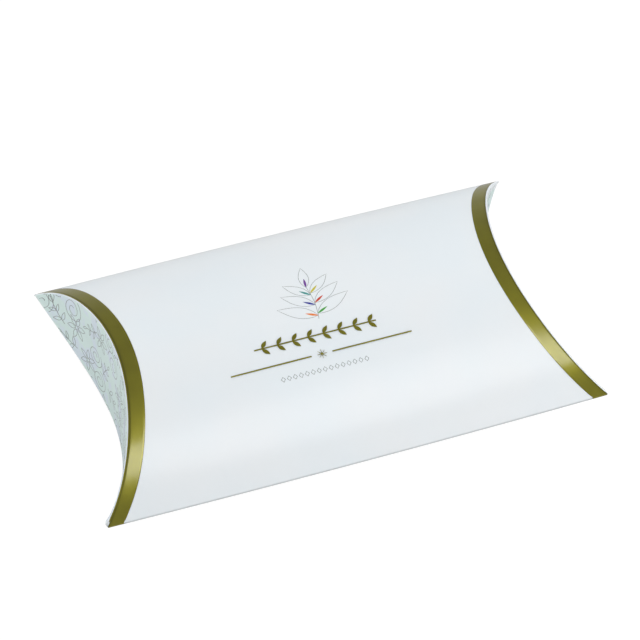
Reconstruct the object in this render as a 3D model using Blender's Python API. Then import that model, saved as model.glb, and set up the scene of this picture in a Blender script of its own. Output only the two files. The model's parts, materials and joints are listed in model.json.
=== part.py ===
"""A pillow-shaped tea gift box.

One die-cut sheet of white card makes the box. Its two long folds join a top panel to a bottom
panel, and a seam flap glued inside the back fold closes the sleeve. At each end a curved crease
carries an outer flap that hangs from the top panel, over an inner flap that stands on the bottom
panel. Gold foil is stamped along every curved crease and in the ornament on the top.

X runs along the folds, Y across them and Z up. The origin is under the middle of the box, on the
surface that it rests on.
"""

import collections
import math

import bmesh
import bpy

MM = 0.001

# Sleeve
BOX_LENGTH = 200 * MM  # corner to corner along a fold
BOX_WIDTH = 119.4 * MM  # fold to fold, at the corners
FOLD_BOW = 0.8 * MM  # each fold bows outwards this much at mid length
CROWN_RISE = 21.8 * MM  # top panel above the folds
BELLY_DROP = 22.5 * MM  # bottom panel below the folds, before its middle lies flat
REST_HALF_WIDTH = 12 * MM  # half the strip that lies flat on the table
CREASE_DEPTH = 22.1 * MM  # how far a curved crease cuts in from its corners
CARD = 0.5 * MM
CARD_GAP = 0.3 * MM  # between card faces that touch

# Seam inside the back fold
SEAM_GLUE = 0.15 * MM
GLUE_GAP = 0.1 * MM  # on either face of the glue
SEAM_LENGTH = 184 * MM
SEAM_TAPER = 8 * MM  # each end of the seam flap is cut back this much at its free edge
GLUE_MARGIN = 3 * MM  # bare card at each end of the glue

# End flaps
FLAP_LIFT = 0.8 * MM  # outer flap's free edge above the bottom crease
FLAP_TRIM = 6.7 * MM  # sets how much more is cut away between its middle and its corners
FLAP_SPRING = 4.2 * MM  # how far the left one's free edge springs out, at the middle
CORNER_SPRING = 9.6 * MM  # how much further it leans towards the corners, for the same height

# Gold foil
FOIL = 0.12 * MM
FOIL_GAP = 0.1 * MM  # between foil and card
BAND_WIDTH = 6.2 * MM
RULE_PLACE = -21 * MM  # of the rules and the star, across the box
RULE_WIDTH = 0.5 * MM
RULE_LENGTH = 32 * MM
RULE_SPACE = 4.2 * MM  # from the middle of the star to each rule
STAR_RADIUS = 2.0 * MM
STAR_WAIST = 0.3 * MM  # radius at which its rays meet
GARLAND_PLACE = -12.6 * MM  # of its stem, across the box
GARLAND_LENGTH = 49 * MM
STEM_WIDTH = 0.5 * MM
LEAF_LENGTH = 3.8 * MM
LEAF_WIDTH = 1.6 * MM
ORNAMENT_SHIFT = -3.8 * MM  # of the whole ornament, along the box

# Shape and fineness
SECTION_POWER = 2  # the section is a parabola
FOLD_POWER = 8  # and a little of it turns down only near the folds
FOLD_SHARE = 0.21
TRIM_POWER = 0.25
FLAP_KEPT_SHARE = 0.25  # of the flap's full height, left at its corners at least
LEAF_ANGLE = math.radians(48)
SMOOTH_ANGLE = math.radians(30)
REST_STEPS = 2
FLANK_STEPS = 9
TURN_STEPS = 9  # finer, where the section turns down
SEAM_STEPS = 8
FIELD_STEPS = 8
LEAF_STEPS = 6
LEAF_PAIRS = 8
STAR_RAYS = 8

# Shares of the half width, from the middle (0) to a fold (1)
TURN_SHARE = 0.72  # where the section starts to turn down
OUTER_REACH_SHARE = 0.975
INNER_REACH_SHARE = 0.93
SEAM_REACH_SHARES = (0.73, 0.99)
GLUE_REACH_SHARES = (0.76, 0.95)

CROWN_SIDE, BELLY_SIDE = 1, -1
LEFT, RIGHT = -1, 1
WALL_STEP = CARD + CARD_GAP
SEAT = FOIL + FOIL_GAP
REST_SHARE = REST_HALF_WIDTH / (BOX_WIDTH / 2)


def fullness(share, flat_share=0.0):
    """The section's height at a share of the half width: 1 in the middle and 0 at a fold."""
    reach = max(abs(share), flat_share)
    return 1 - (1 - FOLD_SHARE) * reach**SECTION_POWER - FOLD_SHARE * reach**FOLD_POWER


def steepness(share):
    """How fast the fullness falls with the share of the half width."""
    gentle = SECTION_POWER * abs(share) ** (SECTION_POWER - 1)
    sharp = FOLD_POWER * abs(share) ** (FOLD_POWER - 1)
    return (1 - FOLD_SHARE) * gentle + FOLD_SHARE * sharp


FOLD_LEVEL = CARD_GAP / 2 + BELLY_DROP * fullness(0, REST_SHARE)
CROWN_LEVEL = FOLD_LEVEL + CARD_GAP / 2 + CROWN_RISE

Skin = collections.namedtuple("Skin", "side rise flat_share end_steps")
CROWN = Skin(CROWN_SIDE, CROWN_RISE, 0.0, 0)
BELLY = Skin(BELLY_SIDE, BELLY_DROP, REST_SHARE, 1)


def half_width(x):
    return BOX_WIDTH / 2 + FOLD_BOW * (1 - (2 * x / BOX_LENGTH) ** 2)


def fold_wall(skin, depth):
    """How much narrower a panel is, on each side, at a depth inside its outer face."""
    return depth / math.sin(math.atan(steepness(1) * skin.rise / (BOX_WIDTH / 2)))


def skin_point(skin, share, x, depth=0.0):
    """A point of a panel, depth inside its outer face. A negative depth stands proud of it."""
    y = share * (half_width(x) - fold_wall(skin, depth))
    height = (skin.rise - depth) * fullness(share, skin.flat_share)
    return (x, y, FOLD_LEVEL + skin.side * (CARD_GAP / 2 + height))


def crease_x(share, inset=0.0):
    """Where the curved crease of a panel lies, moved inset towards the middle, square to itself."""
    slope = CREASE_DEPTH * steepness(share) / (BOX_WIDTH / 2)
    return BOX_LENGTH / 2 - CREASE_DEPTH * fullness(share) - inset * math.hypot(1, slope)


def end_x(skin, share, depth=0.0):
    """A panel's upright end. The bottom panel leaves room for its inner flap, except at corners."""
    inset = skin.end_steps * WALL_STEP if abs(share) < 1 else 0
    return crease_x(share * (1 - fold_wall(skin, depth) / (BOX_WIDTH / 2)), inset)


def steps(start, end, count):
    """Evenly spaced values from start up to end, without end itself."""
    return [start + (end - start) * i / count for i in range(count)]


def stations(reach):
    """Shares of the half width from one side to the other, with the flat strip's edges in them."""
    side = steps(0, REST_SHARE, REST_STEPS) + steps(REST_SHARE, TURN_SHARE, FLANK_STEPS)
    side += [*steps(TURN_SHARE, reach, TURN_STEPS), reach]
    return [-share for share in side[:0:-1]] + side


def material(name, colour, roughness, metallic=0.0):
    made = bpy.data.materials.new(name)
    made.use_nodes = True
    shader = made.node_tree.nodes["Principled BSDF"]
    shader.inputs["Base Color"].default_value = (*colour, 1)
    shader.inputs["Roughness"].default_value = roughness
    shader.inputs["Metallic"].default_value = metallic
    return made


def loft(name, rings, finish, origin=(0, 0, 0)):
    """A closed solid through rings of points, whose object has its origin at the given place."""
    bm = bmesh.new()
    loops = []
    for ring in rings:
        loops.append([bm.verts.new([p - o for p, o in zip(point, origin)]) for point in ring])
    for near, far in zip(loops, loops[1:]):
        for i, corner in enumerate(near):
            bm.faces.new((near[i - 1], corner, far[i], far[i - 1]))
    bm.faces.new(loops[0])
    bm.faces.new(loops[-1])
    bmesh.ops.recalc_face_normals(bm, faces=bm.faces)
    mesh = bpy.data.meshes.new(name)
    bm.to_mesh(mesh)
    bm.free()
    mesh.shade_smooth()
    mesh.set_sharp_from_angle(angle=SMOOTH_ANGLE)
    mesh.materials.append(finish)
    made = bpy.data.objects.new(name, mesh)
    made.location = origin
    bpy.context.scene.collection.objects.link(made)
    return made


def panel(name, skin, finish):
    """A curved panel, with a shallow seat for a foil band along each of its two creases."""
    rings = []
    for share in stations(1):
        seat_end = end_x(skin, share, SEAT)
        seat_edge = crease_x(share) - BAND_WIDTH
        inner_end = end_x(skin, share, CARD)
        field = steps(-seat_edge, seat_edge, FIELD_STEPS)[1:]
        outside = [(-seat_end, SEAT), (-seat_edge, SEAT), (-seat_edge, 0)]
        outside += [(x, 0) for x in field]
        outside += [(seat_edge, 0), (seat_edge, SEAT), (seat_end, SEAT)]
        inside = [(x, CARD) for x in [inner_end, *reversed(field), -inner_end]]
        rings.append([skin_point(skin, share, x, depth) for x, depth in outside + inside])
    loft(name, rings, finish)


def foil_band(name, skin, end, finish):
    """The foil along one crease, flush with the panel's face."""
    rings = []
    for share in stations(1):
        inner_x = crease_x(share) - BAND_WIDTH + FOIL_GAP
        corners = [(end_x(skin, share, depth), depth) for depth in (0, FOIL)]
        corners += [(inner_x, FOIL), (inner_x, 0)]
        rings.append([skin_point(skin, share, end * x, depth) for x, depth in corners])
    loft(name, rings, finish)


def wall(name, end, reach, insets, levels, spring, hinge_level, finish):
    """An end flap: a curved wall between two insets of the crease.

    levels gives its lowest and highest point at a share of the half width, and spring how far
    its foot leans out. The flap turns about its outer face, so its origin is there, at the level
    of its crease.
    """
    outer_inset, inner_inset = insets
    rings = []
    for share in stations(reach):
        y = share * half_width(crease_x(share))
        low, high = levels(share)
        outer_x = end * crease_x(share, outer_inset)
        inner_x = end * crease_x(share, inner_inset)
        lean = end * spring(share)
        upper = [(outer_x, y, high), (inner_x, y, high)]
        rings.append([(outer_x + lean, y, low), *upper, (inner_x + lean, y, low)])
    loft(name, rings, finish, origin=(end * crease_x(0, outer_inset), 0, hinge_level))


def outer_levels(share):
    """The outer flap hangs from the top crease, almost to the bottom one at its middle."""
    high = skin_point(CROWN, share, crease_x(share))[2]
    crease = skin_point(BELLY, share, crease_x(share))[2]
    height_share = fullness(share)
    trimmed = FLAP_LIFT + FLAP_TRIM * height_share**TRIM_POWER * (1 - height_share)
    return min(crease + trimmed, high - FLAP_KEPT_SHARE * (high - crease)), high


def sprung(share):
    """The left outer flap has been opened, and its free edge stands out a little."""
    height_share = fullness(share)
    return height_share * (FLAP_SPRING + CORNER_SPRING * (1 - height_share))


def inner_levels(share):
    """The inner flap stands on the bottom crease, up to half way between the creases."""
    low = skin_point(BELLY, share, crease_x(share))[2]
    return low, CROWN_LEVEL / 2 - CARD_GAP


def upright(share):
    """The other flaps stand upright."""
    return 0 * share


def seam_strip(name, reach, depths, margin, finish):
    """A tapered strip under the top panel, along the back fold."""
    rings = []
    free_share, fold_share = reach
    for share in [*steps(free_share, fold_share, SEAM_STEPS), fold_share]:
        taper = SEAM_TAPER * (fold_share - share) / (fold_share - free_share)
        end = SEAM_LENGTH / 2 - taper - margin
        along = [*steps(-end, end, FIELD_STEPS), end]
        upper = [skin_point(CROWN, share, x, depths[0]) for x in along]
        lower = [skin_point(CROWN, share, x, depths[1]) for x in reversed(along)]
        rings.append(upper + lower)
    loft(name, rings, finish)


def stamped(name, outline, finish):
    """Foil with the given outline, following the top panel a little proud of its face."""
    rings = []
    for depth in (-FOIL_GAP, -FOIL_GAP - FOIL):
        rings.append([skin_point(CROWN, y / half_width(x), x, depth) for x, y in outline])
    loft(name, rings, finish)


def rule_outline(end):
    near, far = (ORNAMENT_SHIFT + end * x for x in (RULE_SPACE, RULE_SPACE + RULE_LENGTH))
    low, high = (RULE_PLACE + side * RULE_WIDTH / 2 for side in (-1, 1))
    middle = (near + far) / 2
    return [(near, low), (middle, low), (far, low), (far, high), (middle, high), (near, high)]


def star_outline():
    points = []
    for i in range(2 * STAR_RAYS):
        radius = STAR_WAIST if i % 2 else STAR_RADIUS
        angle = math.pi * i / STAR_RAYS
        x, y = radius * math.cos(angle), radius * math.sin(angle)
        points.append((ORNAMENT_SHIFT + x, RULE_PLACE + y))
    return points


def leaf_edge(root_x, side):
    """One leaf's outline from its root on the stem, out to its tip and back to the stem."""
    points = []
    for i in range(2 * LEAF_STEPS + 1):
        share = i / LEAF_STEPS
        along = LEAF_LENGTH * (share if share <= 1 else 2 - share)
        across = LEAF_WIDTH / 2 * math.sin(math.pi * share)
        x = along * math.cos(LEAF_ANGLE) - across * math.sin(LEAF_ANGLE)
        y = along * math.sin(LEAF_ANGLE) + across * math.cos(LEAF_ANGLE)
        root_step = STEM_WIDTH / 2 * (share - 1)
        points.append((root_x + x + root_step, side * (STEM_WIDTH / 2 + y)))
    return points


def garland_outline():
    """A straight stem with pairs of leaves, all leaning one way."""
    start = ORNAMENT_SHIFT - GARLAND_LENGTH / 2
    tip = ORNAMENT_SHIFT + GARLAND_LENGTH / 2
    pitch = GARLAND_LENGTH / LEAF_PAIRS
    roots = [start + (i + 1 / 2) * pitch for i in range(LEAF_PAIRS)]
    upper = [point for x in roots for point in leaf_edge(x, 1)]
    lower = [point for x in reversed(roots) for point in reversed(leaf_edge(x, -1))]
    ends = [(start, -STEM_WIDTH / 2), (start, STEM_WIDTH / 2)]
    tips = [(tip, STEM_WIDTH / 2), (tip, -STEM_WIDTH / 2)]
    return [(x, GARLAND_PLACE + y) for x, y in ends + upper + tips + lower]


def build():
    for old in list(bpy.data.objects):
        bpy.data.objects.remove(old)
    white_card = material("white_card", (0.80, 0.83, 0.85), 0.35)
    printed_card = material("printed_card", (0.50, 0.58, 0.57), 0.5)
    plain_card = material("plain_card", (0.72, 0.73, 0.72), 0.7)
    gold_foil = material("gold_foil", (0.42, 0.38, 0.10), 0.3, 1.0)
    clear_glue = material("clear_glue", (0.75, 0.72, 0.62), 0.4)

    panel("top_panel", CROWN, white_card)
    panel("bottom_panel", BELLY, white_card)

    tab_depth = CARD + SEAM_GLUE + 2 * GLUE_GAP
    seam_strip("seam_flap", SEAM_REACH_SHARES, (tab_depth, tab_depth + CARD), 0, plain_card)
    glue_depth = CARD + GLUE_GAP
    glue_depths = (glue_depth, glue_depth + SEAM_GLUE)
    seam_strip("seam_glue", GLUE_REACH_SHARES, glue_depths, GLUE_MARGIN, clear_glue)

    outer_insets = (-WALL_STEP, -CARD_GAP)
    inner_insets = (0, CARD)
    for word, end in (("left", LEFT), ("right", RIGHT)):
        foil_band(f"top_band_{word}", CROWN, end, gold_foil)
        foil_band(f"bottom_band_{word}", BELLY, end, gold_foil)
        wall(
            f"outer_flap_{word}", end, OUTER_REACH_SHARE, outer_insets, outer_levels,
            sprung if end == LEFT else upright, CROWN_LEVEL, printed_card,
        )
        wall(
            f"inner_flap_{word}", end, INNER_REACH_SHARE, inner_insets, inner_levels,
            upright, 0, plain_card,
        )
        stamped(f"foil_rule_{word}", rule_outline(end), gold_foil)

    stamped("foil_star", star_outline(), gold_foil)
    stamped("foil_garland", garland_outline(), gold_foil)


build()
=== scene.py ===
"""The looks of a pillow-shaped tea gift box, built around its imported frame.

Every piece is modelled flat, as the die-cut sheet lies on the table before it is folded, and is then
laid onto the folded box's curved surfaces. A flat point is (along, across, height): height 0 is the
printed face, and a negative height is inside the card. All sizes are in metres.
"""

import json
import random
from collections import namedtuple
from functools import partial
from math import atan, atan2, copysign, cos, exp, hypot, pi, radians, sin, tan

import bmesh
import bpy
import numpy as np
from bpy.props import FloatProperty, FloatVectorProperty, IntProperty, PointerProperty
from mathutils import Matrix, Vector


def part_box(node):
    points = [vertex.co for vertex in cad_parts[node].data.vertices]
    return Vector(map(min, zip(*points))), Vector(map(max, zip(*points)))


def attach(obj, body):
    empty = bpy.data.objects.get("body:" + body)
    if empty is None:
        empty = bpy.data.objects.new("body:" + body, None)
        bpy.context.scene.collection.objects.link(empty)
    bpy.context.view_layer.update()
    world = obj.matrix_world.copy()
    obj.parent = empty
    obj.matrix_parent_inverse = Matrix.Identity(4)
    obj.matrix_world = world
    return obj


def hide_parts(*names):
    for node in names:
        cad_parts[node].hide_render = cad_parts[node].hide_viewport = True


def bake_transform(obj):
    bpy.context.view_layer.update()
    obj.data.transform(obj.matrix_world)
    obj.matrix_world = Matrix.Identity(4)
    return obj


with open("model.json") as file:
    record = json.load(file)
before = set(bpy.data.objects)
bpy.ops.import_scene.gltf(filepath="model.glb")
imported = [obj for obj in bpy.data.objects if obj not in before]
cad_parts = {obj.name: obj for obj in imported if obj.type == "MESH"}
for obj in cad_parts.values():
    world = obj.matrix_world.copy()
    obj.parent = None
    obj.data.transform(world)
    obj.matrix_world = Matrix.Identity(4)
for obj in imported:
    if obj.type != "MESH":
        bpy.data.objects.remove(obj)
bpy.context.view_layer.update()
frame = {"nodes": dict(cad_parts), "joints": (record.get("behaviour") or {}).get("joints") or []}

bl_info = {
    "name": "Tea gift box",
    "version": (1, 0, 0),
    "blender": (4, 5, 0),
    "location": "View3D > Sidebar > Tea Box",
    "description": "Builds the card, foil and print of a pillow-shaped tea gift box",
    "category": "Add Mesh",
}

MM = 0.001
ENDS = (("left", -1), ("right", 1))
SECTION_POWER = 2
FOLD_POWER = 8
FOLD_SHARE = 0.21
CORNER_TAPER_SHARE = 0.025
TRIM_POWER = 0.25
FLAP_KEPT_SHARE = 0.25
SMOOTH_ANGLE = radians(35)

TOP_LOW, TOP_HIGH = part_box("top_panel")
BOTTOM_LOW, BOTTOM_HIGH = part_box("bottom_panel")
HINGES = {joint["name"]: Vector(joint["pos_m"]) for joint in frame["joints"]}
FOLD_BOW = 0.8 * MM
CARD = 0.5 * MM
CARD_GAP = TOP_LOW.z - BOTTOM_HIGH.z
REST_HALF_WIDTH = 12 * MM
HALF_LENGTH = TOP_HIGH.x
HALF_WIDTH = TOP_HIGH.y - FOLD_BOW
CREASE_DEPTH = HALF_LENGTH - HINGES["right_inner_crease"].x


def fullness(share, flat_share=0.0):
    """The section's height at a share of the half width: 1 in the middle, 0 at a fold."""
    reach = max(abs(share), flat_share)
    return 1 - (1 - FOLD_SHARE) * reach**SECTION_POWER - FOLD_SHARE * reach**FOLD_POWER


def steepness(share):
    """How fast the fullness falls with the share of the half width."""
    gentle = SECTION_POWER * abs(share) ** (SECTION_POWER - 1)
    sharp = FOLD_POWER * abs(share) ** (FOLD_POWER - 1)
    return (1 - FOLD_SHARE) * gentle + FOLD_SHARE * sharp


def field(name, description, default, kind=FloatProperty, **options):
    """A setting for the sidebar."""
    return kind(name=name, description=description, default=default, **options)


size_field = partial(field, unit="LENGTH")
angle_field = partial(field, subtype="ANGLE")
colour_field = partial(field, kind=FloatVectorProperty, subtype="COLOR")


class TeaBoxSizes(bpy.types.PropertyGroup):
    """The sizes that a user would change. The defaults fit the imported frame."""

    length: size_field("Length", "Corner to corner along a fold", 2 * HALF_LENGTH)
    width: size_field("Width", "Fold to fold, at the corners", 2 * HALF_WIDTH)
    fold_bow: size_field("Fold bow", "How far a fold bows out at mid length", FOLD_BOW)
    crown_rise: size_field("Crown rise", "Top panel above its folds", TOP_HIGH.z - TOP_LOW.z)
    belly_drop: size_field(
        "Belly drop", "Depth of the bottom panel before it is laid down",
        (BOTTOM_HIGH.z - BOTTOM_LOW.z) / fullness(REST_HALF_WIDTH / HALF_WIDTH),
    )
    rest_half_width: size_field("Resting strip", "Half the strip that lies flat", REST_HALF_WIDTH)
    crease_depth: size_field("Crease depth", "How far a curved crease cuts in", CREASE_DEPTH)
    card: size_field("Card", "Thickness of the card", CARD)
    card_gap: size_field("Card gap", "Between card faces that touch", CARD_GAP)
    fold_inset: size_field("Fold rounding", "From a sharp fold in to a rounded one", 0.1 * MM)
    card_wave: size_field("Card wave", "Depth of the slow waves in the top panel", 0.12 * MM)
    band_width: size_field("Band width", "Width of the foil along each crease", 6.2 * MM)
    foil: size_field("Foil", "Thickness of the foil", 0.12 * MM)
    foil_seat: size_field("Foil seat", "Depth that the foil is pressed into the card", 0.22 * MM)
    foil_edge: size_field("Foil edge", "Open groove between the foil and the card", 0.1 * MM)
    flap_lift: size_field("Flap lift", "Outer flap's edge above the bottom crease", 0.8 * MM)
    flap_spring: size_field("Flap spring", "How far that edge springs out, at its middle", 4.2 * MM)
    corner_spring: size_field("Corner spring", "How much further it leans at its ends", 9.6 * MM)
    flap_trim: size_field("Flap trim", "Sets how much is cut away between those", 6.7 * MM)
    ink: size_field("Ink", "Height of the printed lines", 0.02 * MM)
    print_seed: field("Print seed", "Layout of the pattern on the flaps", 113, kind=IntProperty)


class TeaBoxColours(bpy.types.PropertyGroup):
    """The finishes' colours, as they look under plain white light."""

    card: colour_field("Coated card", "White coated card", (0.82, 0.866, 0.892))
    inside: colour_field("Uncoated card", "Inside of the card", (0.74, 0.74, 0.70))
    tint: colour_field("Flap tint", "Printed ground of the end flaps", (0.685, 0.825, 0.80))
    foil: colour_field("Foil", "Gold foil", (0.345, 0.318, 0.020))
    ink: colour_field("Ink", "Fine printed lines", (0.20, 0.23, 0.23))
    glue: colour_field("Glue", "Dried glue in the seam", (0.75, 0.66, 0.45))


class TeaBoxStage(bpy.types.PropertyGroup):
    """Camera and room light."""

    azimuth: angle_field("Azimuth", "Camera's bearing from the front", radians(-16.92))
    elevation: angle_field("Elevation", "Camera's height above the horizon", radians(50.20))
    roll: angle_field("Roll", "Camera's turn about its own line of sight", radians(-1.06))
    distance: size_field("Distance", "Camera to the point that it looks at", 0.8876)
    aim: field(
        "Aim", "Point that the camera looks at", (0.0054, 0.0110, 0.02193),
        kind=FloatVectorProperty, subtype="TRANSLATION",
    )
    lens: field("Lens", "Focal length for a 36 mm sensor, in millimetres", 125.45)
    world_level: field("Room light", "Light from above the horizon", 0.16)
    horizon_level: field("Horizon light", "Light from the horizon", 0.35)


Skin = namedtuple("Skin", "side rise flat_share end_step")
Wall = namedtuple("Wall", "skin outset reach hinge sprung")


class Form:
    """Where the folded box's surfaces lie, worked out from the sizes."""

    def __init__(self, sizes):
        self.sizes = sizes
        self.half_length = sizes.length / 2
        self.corner_half_width = sizes.width / 2
        self.step = sizes.card + sizes.card_gap
        rest_share = sizes.rest_half_width / self.corner_half_width
        self.crown = Skin(1, sizes.crown_rise, 0.0, 0.0)
        self.belly = Skin(-1, sizes.belly_drop, rest_share, self.step)
        self.fold_level = sizes.card_gap / 2 + sizes.belly_drop * fullness(0, rest_share)
        self.crown_level = self.fold_level + sizes.card_gap / 2 + sizes.crown_rise

    def half_width(self, x):
        return self.corner_half_width + self.sizes.fold_bow * (1 - (x / self.half_length) ** 2)

    def crease_slope(self, share):
        return self.sizes.crease_depth * steepness(share) / self.corner_half_width

    def crease_x(self, share, inset=0.0):
        """Where a curved crease lies, moved inset towards the middle, square to itself."""
        moved = inset * hypot(1, self.crease_slope(share))
        return self.half_length - self.sizes.crease_depth * fullness(share) - moved

    @staticmethod
    def taper(share):
        """Card thickness and its rolled edges run out to nothing at the corners."""
        return min(1.0, (1 - abs(share)) / CORNER_TAPER_SHARE)

    def skin_level(self, skin, share):
        height = self.sizes.card_gap / 2 + skin.rise * fullness(share, skin.flat_share)
        return self.fold_level + skin.side * height

    def wave(self, x, y):
        """Slow waves in the top panel, which only ever sink into it."""
        lengthwise = cos(2 * pi * (x / (0.42 * self.sizes.length) + 0.15))
        crosswise = cos(2 * pi * (y / (0.61 * self.sizes.width) - 0.1))
        calm = (1 - min(1, abs(x / self.crease_x(0))) ** 3) * (1 - abs(y / self.half_width(x)) ** 3)
        return self.sizes.card_wave * max(0.0, calm) * (1 + lengthwise * crosswise) / 2

    def fold(self, skin, x):
        """The fold's rounding: its steepness, its radius and where its centre lies."""
        half = self.half_width(x)
        angle = atan(steepness(1) * skin.rise / half)
        spare = self.sizes.card_gap / 2 / tan(angle)
        radius = (self.sizes.fold_inset + spare) / (1 / sin(angle) - 1)
        centre = half - self.sizes.fold_inset - radius
        return angle, radius, centre

    def fold_start(self, skin, x=0.0):
        """Where across the box a panel starts to turn into its rounded fold."""
        angle, radius, centre = self.fold(skin, x)
        return centre + radius * sin(angle)

    def fold_end(self, skin):
        """The flat distance from the middle of a panel to the middle of its fold."""
        angle, radius, _ = self.fold(skin, 0)
        return self.fold_start(skin) + radius * (pi / 2 - angle)

    def panel_x(self, skin, along, share):
        """Flat length places follow the crease: the foil's zone keeps its width."""
        end = self.crease_x(share, skin.end_step * self.taper(share))
        zone = self.half_length - self.sizes.band_width
        inner_end = self.crease_x(share) - self.sizes.band_width
        if abs(along) <= zone:
            return along / zone * inner_end
        reach = (abs(along) - zone) / self.sizes.band_width
        return copysign(inner_end + (end - inner_end) * reach, along)

    def on_panel(self, skin, point, by_zone=True):
        """Where a flat point of a curved panel lies on the folded box."""
        along, across, height = point
        depth = -height
        start = self.fold_start(skin)
        side = copysign(1, across)
        if abs(across) <= start:
            share = across / start * self.fold_start(skin, along) / self.half_width(along)
            x = self.panel_x(skin, along, share) if by_zone else along
            half = self.half_width(x)
            if not by_zone:
                share = across / half
            slope = skin.rise * steepness(share) / half
            lean = atan(slope) if abs(share) >= skin.flat_share else 0
            if skin.side > 0:
                depth += self.wave(x, share * half)
            y = share * half - side * depth * sin(lean)
            z = self.skin_level(skin, share) - skin.side * depth * cos(lean)
            return Vector((x, y, z))
        x = self.panel_x(skin, along, 1 - (1 - start / self.half_width(0)) / 2)
        angle, radius, centre = self.fold(skin, x)
        turn = angle + (abs(across) - start) / radius
        y = centre + (radius - depth) * sin(turn)
        z = self.fold_level + skin.side * (radius - depth) * cos(turn)
        return Vector((x, side * y, z))

    def on_top(self, point):
        """Where a flat point near the middle of the top panel lies, with its distances kept."""
        return self.on_panel(self.crown, point, by_zone=False)

    def crease_roll(self, share):
        """The radius of a flap's rolled crease, and how far it is round the roll."""
        radius = self.step * self.taper(share)
        return radius, radius * pi / 2

    def wall_height(self, wall, share):
        """Crease level, and the upright distance to the flap's free edge."""
        crease = self.skin_level(wall.skin, share)
        if wall.skin.side > 0:
            lower = self.skin_level(self.belly, share)
            height_share = fullness(share)
            trim = self.sizes.flap_trim * height_share**TRIM_POWER * (1 - height_share)
            lift = self.sizes.flap_lift + trim
            free = min(lower + lift, crease - FLAP_KEPT_SHARE * (crease - lower))
        else:
            free = self.crown_level / 2 - self.sizes.card_gap
        return crease, abs(crease - free)

    def spring(self, wall, share):
        """How far a flap's free edge stands out. Only the left outer flap has been opened."""
        height_share = fullness(share)
        return wall.sprung * height_share * (
            self.sizes.flap_spring + self.sizes.corner_spring * (1 - height_share)
        )

    def wall_share(self, across):
        """The share of the half width of a flap's flat place across the box."""
        share = across / self.corner_half_width
        for _ in range(3):
            share = across / self.half_width(self.crease_x(share))
        return share

    def on_wall(self, wall, end, point):
        """Where a flat point of an end flap lies. Its second value is the distance from the crease."""
        across, down, height = point
        share = self.wall_share(across)
        taper = self.taper(share)
        radius, roll = self.crease_roll(share)
        depth = -height * taper
        crease, tall = self.wall_height(wall, share)
        outset = wall.outset * taper
        if down < roll:
            turn = down / radius
            outset += -radius + (radius - depth) * sin(turn)
            level = -radius + (radius - depth) * cos(turn)
        else:
            outset -= depth
            level = -radius - (down - roll)
        x = end * (self.crease_x(share, -outset) - self.spring(wall, share) * level / tall)
        return Vector((x, across, crease + wall.skin.side * level))

    def wall_turn(self, wall, down, across):
        """How much of the flap's swing this place takes: none at the crease, all in the middle."""
        share = self.wall_share(across)
        radius, roll = self.crease_roll(share)
        out = self.sizes.crease_depth * (1 - fullness(share))
        crease, _ = self.wall_height(wall, share)
        off = abs(crease - self.wall_height(wall, 0)[0])
        reach = radius + max(0.0, down - roll)
        swing = atan2(off + reach, out) - atan2(off, out + reach)
        rolled = min(1.0, down / max(roll, 1e-9))
        return swing / (pi / 2) * rolled * rolled * (3 - 2 * rolled)


def steps(start, end, count):
    """Evenly spaced values from start up to end, without end itself."""
    return [start + (end - start) * i / count for i in range(count)]


def mirrored(values):
    """The given rising values, from zero up, with their mirror image before them."""
    return [-value for value in values[:0:-1]] + list(values)


def grid(columns, rows):
    """A flat grid with its columns and rows at the given places. A column may carry a height."""
    bm = bmesh.new()
    bmesh.ops.create_grid(bm, x_segments=len(columns) - 1, y_segments=len(rows) - 1, size=1)
    for v in bm.verts:
        column = columns[round((v.co.x + 1) / 2 * (len(columns) - 1))]
        row = rows[round((v.co.y + 1) / 2 * (len(rows) - 1))]
        v.co = (column[0], row, column[1]) if isinstance(column, tuple) else (column, row, 0)
    return bm


def thicken(bm, thickness, inner_finish=0):
    """Gives a flat sheet its thickness below, and the new faces their own finish."""
    grown = bmesh.ops.extrude_face_region(bm, geom=bm.faces[:])["geom"]
    for item in grown:
        if isinstance(item, bmesh.types.BMVert):
            item.co.z = -thickness
    below = {item for item in grown if isinstance(item, bmesh.types.BMFace)}
    bmesh.ops.recalc_face_normals(bm, faces=bm.faces)
    for face in bm.faces:
        if face in below or abs(face.normal.z) < 0.5:
            face.material_index = inner_finish
    return bm


def soften(bm, edges, width):
    """Rounds the given edges."""
    bmesh.ops.bevel(
        bm, geom=edges, offset=width, segments=2, profile=0.5, affect="EDGES",
        material=-1, clamp_overlap=True,
    )


def rim_edges(bm):
    """The sharp edges round a thickened flat shape."""
    return [e for e in bm.edges if e.is_manifold and e.calc_face_angle() > SMOOTH_ANGLE]


def mark_wear_and_shade(bm, closeness):
    """Marks how near each vertex is to a marked edge, for edge wear and painted shade: 1 on it and 0
    away from it.
    """
    layer = bm.verts.layers.float.new("edge_wear")
    for v in bm.verts:
        v[layer] = min(1.0, max(0.0, closeness(v.co)))


def laid(bm, place):
    """Moves every vertex from its flat place to where it lies on the folded box."""
    for v in bm.verts:
        v.co = place(v.co.copy())
    return bm


def made(name, bm, *finishes, outward=True):
    """An object from a finished bmesh, with the named finishes."""
    if outward:
        bmesh.ops.recalc_face_normals(bm, faces=bm.faces)
    mesh = bpy.data.meshes.new(name)
    bm.to_mesh(mesh)
    bm.free()
    mesh.shade_smooth()
    mesh.set_sharp_from_angle(angle=SMOOTH_ANGLE)
    for finish in finishes:
        mesh.materials.append(finish_named(finish))
    piece = bpy.data.objects.new(name, mesh)
    bpy.context.scene.collection.objects.link(piece)
    return piece


def fixed(piece, slot, *nodes):
    """The piece rides on the sleeve, and stands for the given nodes."""
    if nodes:
        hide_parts(*nodes)
    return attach(piece, "sleeve")


def swinging(piece, wall, word, turns, slot, *nodes):
    """Bakes the piece's place into its mesh, and hides the given nodes that it stands for."""
    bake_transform(piece)
    np.array(turns, np.float32)
    if nodes:
        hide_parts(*nodes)
    return piece


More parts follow.
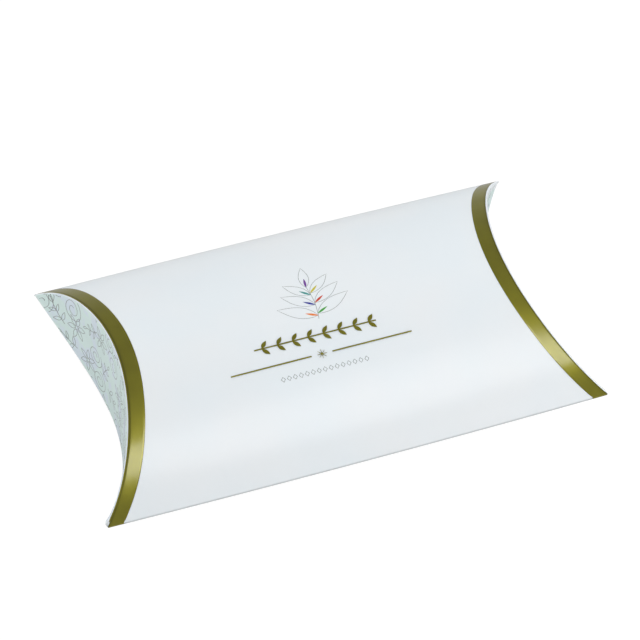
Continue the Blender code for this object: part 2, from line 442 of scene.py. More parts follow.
def add_node(tree, kind, settings=None, **inputs):
    """A node whose inputs are values or other nodes' outputs. _0 means the input of that number."""
    node = tree.nodes.new(kind)
    for name, value in (settings or {}).items():
        setattr(node, name, value)
    for name, value in inputs.items():
        socket = node.inputs[int(name[1:])] if name[1:].isdigit() else node.inputs[name]
        if isinstance(value, bpy.types.NodeSocket):
            tree.links.new(value, socket)
        else:
            socket.default_value = value
    return node


class Finish:
    """A Principled material, with short ways to add its nodes."""

    def __init__(self, name, colour, roughness, **values):
        self.material = bpy.data.materials.new(name)
        self.material.use_nodes = True
        self.tree = self.material.node_tree
        self.node = partial(add_node, self.tree)
        self.shader = self.tree.nodes["Principled BSDF"]
        values.update({"Base Color": (*colour, 1), "Roughness": roughness})
        for key, value in values.items():
            self.shader.inputs[key].default_value = value
        self.place = self.node("ShaderNodeTexCoord").outputs["Object"]

    def join(self, output, name):
        self.tree.links.new(output, self.shader.inputs[name])

    def noise(self, size, detail=3.0, stretch=(1, 1, 1)):
        """Noise whose features are about the given size."""
        scale = tuple(s / size for s in stretch)
        mapped = self.node("ShaderNodeMapping", Vector=self.place, Scale=scale)
        return self.node(
            "ShaderNodeTexNoise", Vector=mapped.outputs[0], Scale=1.0, Detail=detail
        ).outputs["Fac"]

    def wear(self):
        """How near a place is to a marked edge, for edge wear and painted shade."""
        return self.node("ShaderNodeAttribute", {"attribute_name": "edge_wear"}).outputs["Fac"]

    def between(self, factor, low=0.0, high=1.0, from_low=0.3, from_high=0.7):
        """Turns a factor between two values into a number between two others."""
        return self.node(
            "ShaderNodeMapRange", _0=factor, _1=from_low, _2=from_high, _3=low, _4=high
        ).outputs[0]

    def mix(self, factor, first, second, *span):
        """A colour between two others, as far towards the second as the factor's span says."""
        ends = [c if isinstance(c, bpy.types.NodeSocket) else (*c, 1) for c in (first, second)]
        share = self.between(factor, *span)
        return self.node(
            "ShaderNodeMix", {"data_type": "RGBA"}, _0=share, _6=ends[0], _7=ends[1]
        ).outputs[2]

    def bump(self, height, strength, distance, below=None):
        node = self.node("ShaderNodeBump", Height=height, Strength=strength, Distance=distance)
        if below is not None:
            self.tree.links.new(below, node.inputs["Normal"])
        self.join(node.outputs[0], "Normal")
        return node.outputs[0]


def shade(colour, factor):
    return tuple(channel * factor for channel in colour)


def coated_card(name, colour):
    """White card with a satin film over it: faint cloudiness, film ripple and paper tooth, and painted
    shade along its rounded folds.
    """
    film = {"Coat Weight": 0.22, "Coat Roughness": 0.16, "Specular IOR Level": 0.45}
    finish = Finish(name, colour, 0.34, **film)
    cool = (colour[0] * 0.975, colour[1] * 0.99, colour[2])
    warm = (colour[0] * 1.01, colour[1] * 0.995, colour[2] * 0.99)
    ground = finish.mix(finish.noise(45 * MM, 2.0), cool, warm, 0.0, 1.0, 0.35, 0.65)
    ground = finish.mix(finish.noise(0.5 * MM, 4.0), ground, shade(colour, 0.86), 0.0, 0.06)
    # Painted shade: darker along the rounded folds, and near the inner flaps' free edges.
    ground = finish.mix(finish.wear(), ground, shade(colour, 0.62), 0.0, 1.0, 0.25, 1.0)
    finish.join(ground, "Base Color")
    finish.join(finish.between(finish.noise(3 * MM), 0.30, 0.38), "Roughness")
    ripple = finish.bump(finish.noise(2.2 * MM, 2.0), 0.10, 0.05 * MM)
    finish.bump(finish.noise(0.35 * MM), 0.12, 0.02 * MM, ripple)
    return finish.material


def uncoated_card(name, colour):
    """Bare board: matt, with fibres."""
    finish = Finish(name, colour, 0.85, **{"Specular IOR Level": 0.25})
    fibre = finish.noise(0.6 * MM, 5.0, stretch=(0.25, 1, 1))
    ground = finish.mix(fibre, shade(colour, 0.93), shade(colour, 1.04))
    speck = finish.noise(1.1 * MM, 1.0)
    ground = finish.mix(speck, ground, shade(colour, 0.7), 0.0, 0.35, 0.70, 0.76)
    finish.join(ground, "Base Color")
    finish.bump(fibre, 0.35, 0.06 * MM)
    return finish.material


def tinted_card(name, colour):
    """Coated card under a printed tint with soft bluer patches, rubbed white at its edge."""
    finish = Finish(name, colour, 0.42, **{"Coat Weight": 0.2, "Coat Roughness": 0.25})
    bluer = (colour[0], 0.92 * colour[1], 1.08 * colour[2])
    ground = finish.mix(finish.noise(14 * MM), shade(colour, 0.965), shade(colour, 1.03))
    ground = finish.mix(finish.noise(7 * MM, 2.0), ground, bluer, 0.0, 0.8, 0.50, 0.60)
    ground = finish.mix(finish.noise(0.4 * MM), ground, shade(colour, 0.8), 0.0, 0.12)
    ground = finish.mix(finish.wear(), ground, (0.86, 0.87, 0.84), 0.0, 0.7, 0.5, 1.0)
    finish.join(ground, "Base Color")
    finish.join(finish.between(finish.noise(2 * MM), 0.38, 0.46), "Roughness")
    finish.bump(finish.noise(0.35 * MM), 0.15, 0.02 * MM)
    return finish.material


def stamped_foil(name, colour):
    """Hot-stamped foil: a lacquered metal film that shows the card's texture beneath it, darkened
    towards the crease as painted shade.
    """
    lacquer = {"Coat Weight": 1.0, "Coat Roughness": 0.15, "Coat IOR": 1.72}
    finish = Finish(name, colour, 0.4, Metallic=0.8, **lacquer)
    patch = finish.noise(9 * MM, 2.0)
    ground = finish.mix(patch, shade(colour, 0.94), shade(colour, 1.06))
    # Painted shade: the foil is darker towards its edge at the crease.
    ground = finish.mix(finish.wear(), ground, shade(colour, 0.5), 0.0, 1.0, 0.0, 1.0)
    finish.join(ground, "Base Color")
    finish.join(finish.between(finish.noise(1.2 * MM, 4.0), 0.38, 0.45), "Roughness")
    ripple = finish.bump(finish.noise(3.5 * MM, 2.0), 0.12, 0.08 * MM)
    finish.bump(finish.noise(0.4 * MM), 0.10, 0.02 * MM, ripple)
    return finish.material


def printed_ink(name, colour):
    """Ink, a little uneven where the paper's tooth took less of it."""
    finish = Finish(name, colour, 0.45)
    grain = finish.noise(0.3 * MM)
    ground = finish.mix(grain, shade(colour, 0.9), shade(colour, 1.5), 0.0, 0.4)
    finish.join(ground, "Base Color")
    return finish.material


def dried_glue(name, colour):
    """A thin glassy film of glue."""
    finish = Finish(name, colour, 0.28, **{"Transmission Weight": 0.35, "IOR": 1.48})
    blob = finish.noise(2.5 * MM, 2.0)
    ground = finish.mix(blob, shade(colour, 0.85), shade(colour, 1.08))
    finish.join(ground, "Base Color")
    finish.bump(blob, 0.4, 0.1 * MM)
    return finish.material


MAKERS = {
    "coated_card": (coated_card, "card"),
    "uncoated_card": (uncoated_card, "inside"),
    "tinted_card": (tinted_card, "tint"),
    "stamped_foil": (stamped_foil, "foil"),
    "grey_ink": (printed_ink, "ink"),
    "dried_glue": (dried_glue, "glue"),
}


def finish_named(name):
    """The named finish, made once from the sidebar's colours."""
    found = bpy.data.materials.get(name)
    if found:
        return found
    maker, colour = MAKERS[name]
    return maker(name, tuple(getattr(bpy.context.scene.teabox_colours, colour)))


FIELD_ROWS = 60
FOLD_ROWS = 6
FIELD_COLUMNS = 45
BAND_COLUMNS = 8


def panel_rows(form, skin):
    start, end = form.fold_start(skin), form.fold_end(skin)
    rest = skin.flat_share * start
    inner = steps(0, rest, 4) if rest else []
    rows = inner + steps(rest, start, FIELD_ROWS) + steps(start, end, FOLD_ROWS) + [end]
    return mirrored(rows)


def curved_panel(form, skin, name):
    """A curved panel, with a shallow seat for a foil band along each of its two creases."""
    zone = form.half_length - form.sizes.band_width
    seat = -form.sizes.foil_seat
    lip = form.sizes.foil_edge / 4
    plain = [(x, 0.0) for x in steps(0, zone, FIELD_COLUMNS) + [zone]]
    sunk = [(x, seat) for x in steps(zone + lip, form.half_length, BAND_COLUMNS)]
    right = plain + sunk + [(form.half_length, seat)]
    columns = [(-x, height) for x, height in right[:0:-1]] + right
    bm = thicken(grid(columns, panel_rows(form, skin)), form.sizes.card, 1)
    start, turn = form.fold_start(skin), form.fold_end(skin) - form.fold_start(skin)
    # Marks the outer part of each rounded fold, where the card gets painted shade.
    mark_wear_and_shade(bm, lambda co: (abs(co.y) - start + 0.3 * turn) / (0.8 * turn))
    laid(bm, partial(form.on_panel, skin))
    return made(name, bm, "coated_card", "uncoated_card")


def foil_band(form, skin, end, name):
    """The foil along one crease, from fold to fold, with softened edges."""
    zone = form.half_length - form.sizes.band_width
    near = zone + form.sizes.foil_edge
    columns = steps(near, form.half_length, BAND_COLUMNS) + [form.half_length]
    columns = columns if end > 0 else [-x for x in reversed(columns)]
    bm = thicken(grid(columns, panel_rows(form, skin)), form.sizes.foil)
    rim = [
        e for e in rim_edges(bm)
        if abs(e.verts[0].co.x - e.verts[1].co.x) < 1e-7
        and all(v.co.z > -MM * 0.01 for v in e.verts)
    ]
    soften(bm, rim, form.sizes.foil / 3)
    # Marks the band's end at the crease, where the foil gets painted shade.
    mark_wear_and_shade(bm, lambda co: (abs(co.x) - form.half_length) / (0.15 * form.sizes.band_width) + 1)
    laid(bm, partial(form.on_panel, skin))
    return made(name, bm, "stamped_foil")


def outer_wall(form, end):
    return Wall(form.crown, form.step, 0.996, "outer", end < 0)


def inner_wall(form):
    return Wall(form.belly, 0.0, 0.93, "inner", False)


WALL_COLUMNS = 110
WALL_ROWS = 44
ROLL_ROWS = 8
# How far past the rolled crease the printed ground starts, and the share of the roll under foil
CREASE_EDGES = {"left": (-0.35 * MM, 0.375), "right": (2.4 * MM, 0)}


def flap(form, wall, end, name, bare, wrap, *finishes):
    """An end flap: a rolled crease, a wall that follows it, and a softened free edge.

    The printed ground starts a distance bare past the rolled crease, and foil covers the first
    of the roll, for the share wrap.
    """
    reach = wall.reach * form.half_width(form.crease_x(wall.reach))
    columns = mirrored(steps(0, reach, WALL_COLUMNS // 2) + [reach])
    rows = steps(0, 1, ROLL_ROWS) + steps(1, 2, WALL_ROWS) + [2]
    bm = grid(columns, rows)
    for v in bm.verts:
        share = form.wall_share(v.co.x)
        radius, roll = form.crease_roll(share)
        straight = max(form.wall_height(wall, share)[1] - radius, radius * 0.05)
        v.co.y = v.co.y * roll if v.co.y < 1 else roll + (v.co.y - 1) * straight
    for face in bm.faces:
        corners = sorted(v.co.y for v in face.verts)
        share = form.wall_share(face.calc_center_median().x)
        _, roll = form.crease_roll(share)
        if corners[-1] < 1.001 * wrap * roll:
            face.material_index = 3
        elif corners[0] < roll + bare * form.taper(share):
            face.material_index = 2
    thicken(bm, form.sizes.card, 1)
    free = [
        e for e in rim_edges(bm)
        if all(v.co.y > form.step * 2 for v in e.verts)
        and abs(e.verts[0].co.z - e.verts[1].co.z) < 1e-9
    ]
    soften(bm, free, form.sizes.card / 4)
    turns = [form.wall_turn(wall, v.co.y, v.co.x) for v in bm.verts]

    def from_free_edge(co):
        share = form.wall_share(co.x)
        radius, _ = form.crease_roll(share)
        low = form.wall_height(wall, share)[1] + radius * (pi / 2 - 1)
        return 1 - (low - co.y) / (1.2 * MM)

    # Marks the free edge: the tint is rubbed white there as wear, and coated card gets painted shade
    # there.
    mark_wear_and_shade(bm, from_free_edge)
    laid(bm, partial(form.on_wall, wall, end))
    return made(name, bm, *finishes), turns


def underside(bm, verts, base):
    """Makes a flat shape solid down to the base height, and gives its lower vertices."""
    faces = list({f for v in verts for f in v.link_faces})
    grown = bmesh.ops.extrude_face_region(bm, geom=faces)["geom"]
    lower = [item for item in grown if isinstance(item, bmesh.types.BMVert)]
    for v in lower:
        v.co.z = base
    return lower


def leaf_blade(bm, root, angle, length, width, base, top, vein=0.0):
    """A solid leaf on the flat sheet, from its root, with a groove along its middle."""
    blade = bmesh.ops.create_grid(bm, x_segments=10, y_segments=6, size=1)["verts"]
    turned = Matrix.Rotation(angle, 3, "Z")
    for v in blade:
        share = (v.co.x + 1) / 2
        side = v.co.y
        half = width / 2 * sin(pi * share ** 0.9)
        groove = vein * exp(-((side / 0.25) ** 2)) * sin(pi * share)
        flat = turned @ Vector((share * length, side * half, 0))
        v.co = (root[0] + flat.x, root[1] + flat.y, top - groove)
    bmesh.ops.remove_doubles(bm, verts=blade + underside(bm, blade, base), dist=0.001 * MM)


def slab(bm, low, high, base, top, cuts):
    """A flat bar between two corners, cut across so that it can follow the panel."""
    bar = bmesh.ops.create_grid(bm, x_segments=cuts, y_segments=1, size=1)["verts"]
    for v in bar:
        x = low[0] + (high[0] - low[0]) * (v.co.x + 1) / 2
        y = low[1] + (high[1] - low[1]) * (v.co.y + 1) / 2
        v.co = (x, y, top)
    underside(bm, bar, base)


RULE_WIDTH = 0.5 * MM
STEM_WIDTH = 0.5 * MM
LEAF_LENGTH = 3.8 * MM
LEAF_WIDTH = 1.6 * MM
LEAF_ANGLE = radians(48)
LEAF_PAIRS = 8
LEAF_VEIN = 0.05 * MM
GARLAND_LENGTH = 49 * MM
STAR_RADIUS = 2.0 * MM
STAR_WAIST = 0.3 * MM
STAR_RAYS = 8
LEAF_LINE_STEPS = 9


def middle_of(node):
    low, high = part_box(node)
    return (low + high) / 2


def stroke_piece(form, name, strokes, width, place):
    """Printed grey lines of even width, as thin closed ribbons, and their flat places."""
    curve = bpy.data.curves.new(name, "CURVE")
    curve.dimensions = "3D"
    curve.twist_mode = "Z_UP"
    curve.bevel_depth = width / 2
    curve.bevel_resolution = 0
    curve.use_fill_caps = True
    for points, closed in strokes:
        spline = curve.splines.new("POLY")
        spline.points.add(len(points) - 1)
        for spot, (x, y) in zip(spline.points, points):
            spot.co = (x, y, 0, 1)
        spline.use_cyclic_u = closed
    holder = bpy.data.objects.new(name, curve)
    mesh = bpy.data.meshes.new_from_object(holder)
    bpy.data.objects.remove(holder)
    bpy.data.curves.remove(curve)
    bm = bmesh.new()
    bm.from_mesh(mesh)
    bpy.data.meshes.remove(mesh)
    bmesh.ops.scale(bm, vec=(1, 1, 2 * form.sizes.ink / width), verts=bm.verts)
    bmesh.ops.recalc_face_normals(bm, faces=bm.faces)
    flat = [v.co.copy() for v in bm.verts]
    laid(bm, place)
    return made(name, bm, "grey_ink"), flat


def moved(points, at, angle):
    """Flat points turned and moved."""
    turn = Matrix.Rotation(angle, 2)
    return [tuple(turn @ Vector(point) + Vector(at)) for point in points]


def leaf_line(length, width):
    """A leaf's closed outline, from its root along X."""
    shares = [i / LEAF_LINE_STEPS for i in range(LEAF_LINE_STEPS + 1)]
    edge = [(length * share, width / 2 * sin(pi * share ** 0.85)) for share in shares]
    return edge + [(x, -y) for x, y in edge[-2:0:-1]]


def on_stem(height, share):
    """Where a sprig's swaying stem is, at a share of its height."""
    return 0.05 * height * sin(3 * share), height * share


def sprig_leaves(height, shares):
    """Where a sprig's leaves grow: root, angle and share of the full leaf size, tip leaf last."""
    leaves = []
    for share in shares:
        for side in (-1, 1):
            lean = radians(90 - side * (66 - 24 * share))
            at = (on_stem(height, share)[0], height * (share + 0.03 * side))
            leaves.append((at, lean, 1.0 - 0.35 * share))
    leaves.append((on_stem(height, 1), radians(84), 0.7))
    return leaves


def sprig_strokes(height, leaf, leaf_width, shares):
    """A stem with pairs of leaves in outline, and one more at its tip."""
    strokes = [([on_stem(height, share) for share in steps(0, 1, 12) + [1]], False)]
    for at, lean, size in sprig_leaves(height, shares):
        strokes.append((moved(leaf_line(leaf * size, leaf_width * size), at, lean), True))
    return strokes


SPRIG_ROOT = (0, -5.5 * MM)
SPRIG_HEIGHT = 17 * MM
SPRIG_SHARES = (0.12, 0.44, 0.76)
SPRIG_LEAF = 17 * MM
SPRIG_LEAF_WIDTH = 5.6 * MM
SPRIG_LINE = 0.18 * MM
BUD_LENGTH = 5.2 * MM
BUD_WIDTH = 0.95 * MM
LOZENGES = 15
LOZENGE_START = (-21.2 * MM, -27.4 * MM)
LOZENGE_PITCH = 2.38 * MM
LOZENGE_SIZE = (1.6 * MM, 2 * MM)
LOZENGE_LINE = 0.26 * MM
BUD_COLOURS = {
    "orange": (0.78, 0.22, 0.04), "green": (0.07, 0.36, 0.06), "blue": (0.03, 0.04, 0.32),
    "red": (0.55, 0.06, 0.03), "teal": (0.03, 0.28, 0.26), "yellow": (0.55, 0.50, 0.04),
    "violet": (0.14, 0.03, 0.28),
}


def blossom_strokes(radius, petals):
    """A blossom in outline: petals and a small ring."""
    strokes = []
    for k in range(petals):
        petal = moved(leaf_line(radius * 0.85, radius * 0.36), (0.15 * radius, 0), 0)
        strokes.append((moved(petal, (0, 0), 2 * pi * k / petals), True))
    ring = [(0.16 * radius * cos(a), 0.16 * radius * sin(a))
            for a in steps(0, 2 * pi, 8)]
    strokes.append((ring, True))
    return strokes


def curl_strokes(size):
    """A tendril that winds up at its tip."""
    points = []
    for t in steps(0, 1, 44) + [1]:
        radius = size * (1 - 0.82 * t)
        points.append((radius * cos(4.2 * pi * t), radius * sin(4.2 * pi * t)))
    return [(points, False)]


def twig_strokes(size):
    return sprig_strokes(size * 1.7, size * 0.85, size * 0.3, (0.2, 0.6))


def inside_runs(points, closed, inside):
    """The parts of a line that lie on the flap. Its die-cut edge cuts the print off."""
    if closed:
        points = points + points[:1]
    kept = [inside(point) for point in points]
    if all(kept):
        return [(points[:-1] if closed else points, closed)]
    runs, run = [], []
    for point, keep in zip(points, kept):
        if keep:
            run.append(point)
        elif run:
            runs.append(run)
            run = []
    runs.append(run)
    return [(run, False) for run in runs if len(run) > 1]


MOTIF_PITCH = 12 * MM
MOTIF_COLUMNS = 8  # on either side of the middle
ROW_PITCH_SHARE = 0.87
MOTIF_JITTER = 0.18
MOTIF_SHARES = {"blossom": 0.48, "twig": 0.48, "curl": 0.5}
TWIG_ROOT_SHARE = 0.45
PATTERN_REACH = 30 * MM  # above and below the folds
LINE_WIDTH = 0.28 * MM


def flap_pattern(form, wall, seed):
    """Line art all over the flap: blossoms, twigs and tendrils in a loose lattice.

    The art is drawn across (along the crease) and up (above the fold), and kept as flat places
    across and down from the crease.
    """
    shares = np.linspace(-wall.reach, wall.reach, 301)
    creases = [form.crease_x(share) for share in shares]
    across = [share * form.half_width(x) for share, x in zip(shares, creases)]
    run = np.concatenate([[0], np.cumsum(np.hypot(np.diff(across), np.diff(creases)))])
    run -= run[-1] / 2

    def placed(point):
        place = float(np.interp(point[0], run, across))
        share = form.wall_share(place)
        crease, tall = form.wall_height(wall, share)
        radius, roll = form.crease_roll(share)
        down = crease - (form.fold_level + point[1]) + radius * (pi / 2 - 1)
        return place, down, tall, radius, roll

    def inside(point):
        if abs(point[0]) > run[-1]:
            return False
        _, down, tall, radius, roll = placed(point)
        return 0.8 * roll < down < tall - radius + roll - 1.5 * LINE_WIDTH

    chance = random.Random(seed)
    strokes = []
    rows = int(2 * PATTERN_REACH / (MOTIF_PITCH * ROW_PITCH_SHARE)) + 1
    for row in range(-rows // 2, rows // 2 + 1):
        for column in range(-MOTIF_COLUMNS, MOTIF_COLUMNS + 1):
            stray = [chance.uniform(-MOTIF_JITTER, MOTIF_JITTER) for _ in "xy"]
            x = (column + 0.5 * (row % 2) + stray[0]) * MOTIF_PITCH
            y = (row * ROW_PITCH_SHARE + stray[1]) * MOTIF_PITCH
            angle = chance.uniform(0, 2 * pi)
            kind = tuple(MOTIF_SHARES)[(column + 2 * row) % 3]
            size = chance.uniform(0.85, 1.1) * MOTIF_PITCH * MOTIF_SHARES[kind]
            if kind == "blossom":
                art = blossom_strokes(size, chance.choice((5, 6)))
            elif kind == "twig":
                art = twig_strokes(size)
                x += TWIG_ROOT_SHARE * MOTIF_PITCH * sin(angle)
                y -= TWIG_ROOT_SHARE * MOTIF_PITCH * cos(angle)
            else:
                art = curl_strokes(size)
            for points, closed in art:
                strokes += inside_runs(moved(points, (x, y), angle), closed, inside)
    return [([placed(point)[:2] for point in points], closed) for points, closed in strokes]


class PieceMaker:
    """What the pieces' operators share: each builds its pieces from the sidebar's sizes."""

    def execute(self, context):
        self.build(Form(context.scene.teabox_sizes))
        return {"FINISHED"}


class TEABOX_OT_top_panel(PieceMaker, bpy.types.Operator):
    """Curved upper panel of coated white card"""

    bl_idname = "teabox.top_panel"
    bl_label = "Top panel"

    def build(self, form):
        fixed(curved_panel(form, form.crown, "upper_card"), "white_card", "top_panel")


class TEABOX_OT_bottom_panel(PieceMaker, bpy.types.Operator):
    """Curved lower panel, which lies flat where the box rests"""

    bl_idname = "teabox.bottom_panel"
    bl_label = "Bottom panel"

    def build(self, form):
        fixed(curved_panel(form, form.belly, "lower_card"), "white_card", "bottom_panel")


class TEABOX_OT_foil_bands(PieceMaker, bpy.types.Operator):
    """Four bands of gold foil, one along each curved crease"""

    bl_idname = "teabox.foil_bands"
    bl_label = "Foil bands"

    def build(self, form):
        for word, end in ENDS:
            for level, skin in (("top", form.crown), ("bottom", form.belly)):
                piece = foil_band(form, skin, end, f"{level}_foil_{word}")
                fixed(piece, "gold_foil", f"{level}_band_{word}")


class TEABOX_OT_outer_flaps(PieceMaker, bpy.types.Operator):
    """The two printed end flaps, which hang from the top panel's creases"""

    bl_idname = "teabox.outer_flaps"
    bl_label = "Outer flaps"

    def build(self, form):
        finishes = ("tinted_card", "uncoated_card", "coated_card", "stamped_foil")
        for word, end in ENDS:
            wall = outer_wall(form, end)
            name = f"closing_flap_{word}"
            piece, turns = flap(form, wall, end, name, *CREASE_EDGES[word], *finishes)
            swinging(piece, wall, word, turns, "printed_card", f"outer_flap_{word}")


class TEABOX_OT_inner_flaps(PieceMaker, bpy.types.Operator):
    """The two plain flaps that stand behind the outer ones"""

    bl_idname = "teabox.inner_flaps"
    bl_label = "Inner flaps"

    def build(self, form):
        wall = inner_wall(form)
        finishes = ("coated_card", "uncoated_card", "coated_card")
        for word, end in ENDS:
            piece, turns = flap(form, wall, end, f"dust_flap_{word}", 0, 0, *finishes)
            swinging(piece, wall, word, turns, "plain_card", f"inner_flap_{word}")


class TEABOX_OT_flap_print(PieceMaker, bpy.types.Operator):
    """Fine grey line art on the outer flaps: blossoms, twigs and tendrils"""

    bl_idname = "teabox.flap_print"
    bl_label = "Flap print"

    def build(self, form):
        for number, (word, end) in enumerate(ENDS):
            wall = outer_wall(form, end)
            strokes = flap_pattern(form, wall, form.sizes.print_seed + number)
            place = partial(form.on_wall, wall, end)
            piece, flat = stroke_piece(form, f"flap_print_{word}", strokes, LINE_WIDTH, place)
            turns = [form.wall_turn(wall, point.y, point.x) for point in flat]
            swinging(piece, wall, word, turns, "printed_card")


class TEABOX_OT_ornament(PieceMaker, bpy.types.Operator):
    """Gold foil ornament on the top: a leaf garland over two rules and a star"""

    bl_idname = "teabox.ornament"
    bl_label = "Foil ornament"

    def build(self, form):
        base, top = -form.sizes.foil_edge, form.sizes.foil_seat  # its underside is in the card
        edge = (top - base) / 5
        for word, _ in ENDS:
            node = f"foil_rule_{word}"
            low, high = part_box(node)
            middle = middle_of(node).y
            bm = bmesh.new()
            corners = (low.x, middle - RULE_WIDTH / 2), (high.x, middle + RULE_WIDTH / 2)
            slab(bm, *corners, base, top, 32)
            soften(bm, rim_edges(bm), edge)
            self.stamp(form, f"rule_{word}", bm, node)

        centre = middle_of("foil_star")
        bm = bmesh.new()
        ring = bmesh.ops.create_circle(bm, cap_ends=True, segments=2 * STAR_RAYS, radius=STAR_RADIUS)
        for i, v in enumerate(ring["verts"]):
            if i % 2:
                v.co *= STAR_WAIST / STAR_RADIUS
        thicken(bm, top - base)
        bmesh.ops.translate(bm, vec=(centre.x, centre.y, top), verts=bm.verts)
        self.stamp(form, "star", bm, "foil_star")

        centre = middle_of("foil_garland")
        start, tip = centre.x - GARLAND_LENGTH / 2, centre.x + GARLAND_LENGTH / 2
        bm = bmesh.new()
        corners = (start, centre.y - STEM_WIDTH / 2), (tip, centre.y + STEM_WIDTH / 2)
        slab(bm, *corners, base, top, 48)
        soften(bm, rim_edges(bm), edge)
        for i in range(LEAF_PAIRS):
            x = start + (i + 0.5) * (GARLAND_LENGTH / LEAF_PAIRS)
            for side in (-1, 1):
                root = (x, centre.y + side * STEM_WIDTH / 2)
                angle = side * LEAF_ANGLE
                leaf_blade(bm, root, angle, LEAF_LENGTH, LEAF_WIDTH, base, top, LEAF_VEIN)
        self.stamp(form, "garland", bm, "foil_garland")

    @staticmethod
    def stamp(form, name, bm, node):
        laid(bm, form.on_top)
        fixed(made(name, bm, "stamped_foil"), "gold_foil", node)


class TEABOX_OT_top_print(PieceMaker, bpy.types.Operator):
    """Printed sprig with small coloured buds, and a row of small lozenges"""

    bl_idname = "teabox.top_print"
    bl_label = "Top print"

    def build(self, form):
        strokes = [(moved(points, SPRIG_ROOT, 0), closed) for points, closed in
                   sprig_strokes(SPRIG_HEIGHT, SPRIG_LEAF, SPRIG_LEAF_WIDTH, SPRIG_SHARES)]
        piece, _ = stroke_piece(form, "sprig_print", strokes, SPRIG_LINE, form.on_top)
        fixed(piece, "white_card")

        bm = bmesh.new()
        finishes = []
        leaves = sprig_leaves(SPRIG_HEIGHT, SPRIG_SHARES)
        for i, ((name, colour), (at, lean, _)) in enumerate(zip(BUD_COLOURS.items(), leaves)):
            before = set(bm.faces)
            at = (SPRIG_ROOT[0] + at[0], SPRIG_ROOT[1] + at[1])
            leaf_blade(bm, at, lean, BUD_LENGTH, BUD_WIDTH, -form.sizes.ink, 2 * form.sizes.ink)
            for face in set(bm.faces) - before:
                face.material_index = i
            finishes.append(printed_ink(f"{name}_ink", colour).name)
        laid(bm, form.on_top)
        fixed(made("sprig_buds", bm, *finishes), "white_card")

        x, y = LOZENGE_START
        wide, high = LOZENGE_SIZE
        shape = [(wide / 2, 0), (0, high / 2), (-wide / 2, 0), (0, -high / 2)]
        strokes = [(moved(shape, (x + i * LOZENGE_PITCH, y), 0), True) for i in range(LOZENGES)]
        piece, _ = stroke_piece(form, "lozenge_print", strokes, LOZENGE_LINE, form.on_top)
        fixed(piece, "white_card")


class TEABOX_OT_seam(PieceMaker, bpy.types.Operator):
    """Seam flap folded in at the back, and the glue that holds it under the top panel"""

    bl_idname = "teabox.seam"
    bl_label = "Glued seam"

    def build(self, form):
        for node, finish in (("seam_flap", "uncoated_card"), ("seam_glue", "dried_glue")):
            materials = frame["nodes"][node].data.materials
            materials.clear()
            materials.append(finish_named(finish))


def stand(name, data, aim, azimuth, elevation, distance, roll=0):
    """Stands a camera or lamp at a bearing from the front and a height, facing the aim."""
    level = cos(elevation)
    back = Vector((sin(azimuth) * level, -cos(azimuth) * level, sin(elevation)))
    turn = (-back).to_track_quat("-Z", "Y").to_matrix() @ Matrix.Rotation(roll, 3, "Z")
    holder = bpy.data.objects.new(name, data)
    holder.location = Vector(aim) + back * distance
    holder.rotation_euler = turn.to_euler()
    bpy.context.scene.collection.objects.link(holder)
    return holder


def softbox(name, azimuth, elevation, distance, size, radiance, aim, in_gloss):
    """A square lamp. Its angles are in degrees."""
    lamp = bpy.data.lights.new(name, "AREA")
    lamp.shape = "SQUARE"
    lamp.size = size
    lamp.energy = radiance * pi * size * size
    holder = stand(name, lamp, aim, radians(azimuth), radians(elevation), distance)
    holder.visible_glossy = in_gloss


def room(level, horizon_level):
    """Room light that is brightest at the horizon, where the white floor meets it."""
    world = bpy.data.worlds.new("room")
    world.use_nodes = True
    tree = world.node_tree
    place = add_node(tree, "ShaderNodeTexCoord").outputs["Generated"]
    height = add_node(tree, "ShaderNodeSeparateXYZ", Vector=place).outputs["Z"]
    fall = add_node(
        tree, "ShaderNodeMapRange", {"interpolation_type": "SMOOTHSTEP"},
        _0=height, _1=0.05, _2=0.5, _3=horizon_level, _4=level,
    )
    light = tree.nodes["Background"].inputs
    tree.links.new(fall.outputs[0], light["Strength"])
    light["Color"].default_value = (1, 1, 1, 1)
    return world


def floor_finish(name):
    """White to the camera and dimmer in reflections, and it keeps part of the shadow."""
    material = bpy.data.materials.new(name)
    material.use_nodes = True
    material.node_tree.nodes.clear()
    node = partial(add_node, material.node_tree)
    ray = node("ShaderNodeLightPath").outputs
    gloss = ray["Is Glossy Ray"]
    level = node("ShaderNodeMapRange", _0=gloss, _3=1.08, _4=0.4)
    paint = node("ShaderNodeBsdfDiffuse", Color=(0.88, 0.88, 0.88, 1))
    glow = node("ShaderNodeEmission", Strength=level.outputs[0])
    add = {"operation": "ADD"}
    bent = node("ShaderNodeMath", add, _0=gloss, _1=ray["Is Transmission Ray"])
    seen = node("ShaderNodeMath", add, _0=ray["Is Camera Ray"], _1=bent.outputs[0])
    share = {"operation": "MULTIPLY", "use_clamp": True}
    part = node("ShaderNodeMath", share, _0=seen.outputs[0], _1=0.9).outputs[0]
    mix = node("ShaderNodeMixShader", _0=part, _1=paint.outputs[0], _2=glow.outputs[0])
    node("ShaderNodeOutputMaterial", Surface=mix.outputs[0])


# Name, azimuth, elevation, distance, size and radiance. The first alone shows in gloss.
LAMPS = (
    ("key", 33, 70.3, 1.3, 0.64, 2.95),
    ("fill", 112, 26, 1.5, 1.1, 2.3),
    ("back", 180, 40, 2.0, 1.6, 1.85),
    ("front", 20, 24, 1.1, 0.8, 2.7),
    ("left", -100, 18, 1.6, 1.2, 2.7),
)
FLOOR_RADIUS = 6
FLOOR_DROP = 0.05 * MM


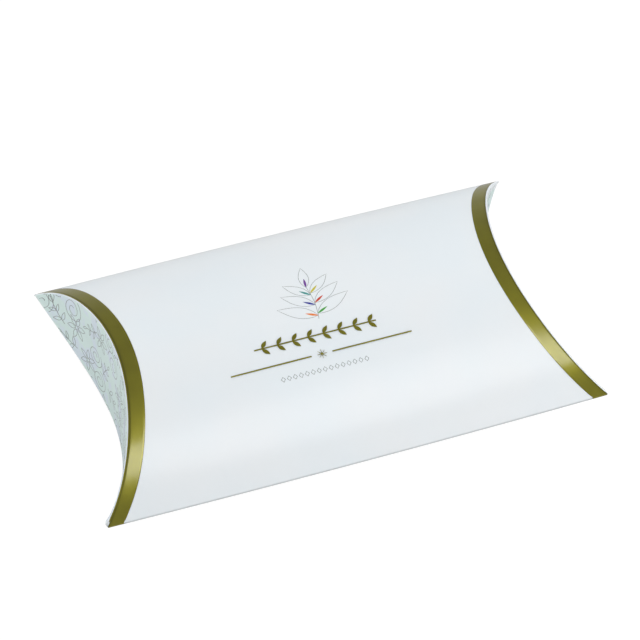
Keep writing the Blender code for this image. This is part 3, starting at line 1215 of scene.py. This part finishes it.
class TEABOX_OT_stage(bpy.types.Operator):
    """Pale floor, soft lamps, room light and the camera"""

    bl_idname = "teabox.stage"
    bl_label = "Stage"

    def execute(self, context):
        stage = context.scene.teabox_stage
        scene = context.scene
        camera = bpy.data.cameras.new("camera")
        camera.sensor_width = 36
        camera.lens = stage.lens
        camera.clip_end = 100
        bearing = stage.azimuth, stage.elevation, stage.distance
        scene.camera = stand("camera", camera, stage.aim, *bearing, stage.roll)

        bm = bmesh.new()
        bmesh.ops.create_circle(bm, cap_ends=True, segments=96, radius=FLOOR_RADIUS)
        bmesh.ops.translate(bm, vec=(0, 0, -FLOOR_DROP), verts=bm.verts)
        floor_finish("studio_floor")
        made("floor", bm, "studio_floor", outward=False)

        for lamp in LAMPS:
            softbox(*lamp, stage.aim, in_gloss=lamp == LAMPS[0])
        scene.world = room(stage.world_level, stage.horizon_level)
        scene.view_settings.view_transform = "Standard"
        return {"FINISHED"}


PIECES = (
    TEABOX_OT_top_panel,
    TEABOX_OT_bottom_panel,
    TEABOX_OT_foil_bands,
    TEABOX_OT_outer_flaps,
    TEABOX_OT_inner_flaps,
    TEABOX_OT_flap_print,
    TEABOX_OT_ornament,
    TEABOX_OT_top_print,
    TEABOX_OT_seam,
    TEABOX_OT_stage,
)


class TEABOX_PT_sidebar(bpy.types.Panel):
    """Sizes, colours and the buttons that build each piece"""

    bl_label = "Tea gift box"
    bl_space_type = "VIEW_3D"
    bl_region_type = "UI"
    bl_category = "Tea Box"

    def draw(self, context):
        layout = self.layout
        for group in ("teabox_sizes", "teabox_colours", "teabox_stage"):
            settings = getattr(context.scene, group)
            box = layout.box()
            for name in settings.__annotations__:
                box.prop(settings, name)
        for piece in PIECES:
            layout.operator(piece.bl_idname)


GROUPS = {
    "teabox_sizes": TeaBoxSizes,
    "teabox_colours": TeaBoxColours,
    "teabox_stage": TeaBoxStage,
}
CLASSES = (*GROUPS.values(), *PIECES, TEABOX_PT_sidebar)


def register():
    for cls in CLASSES:
        bpy.utils.register_class(cls)
    for name, group in GROUPS.items():
        setattr(bpy.types.Scene, name, PointerProperty(type=group))


def unregister():
    for name in GROUPS:
        delattr(bpy.types.Scene, name)
    for cls in reversed(CLASSES):
        bpy.utils.unregister_class(cls)


def main():
    register()
    for piece in PIECES:
        category, name = piece.bl_idname.split(".")
        getattr(getattr(bpy.ops, category), name)()


if __name__ == "__main__":
    main()
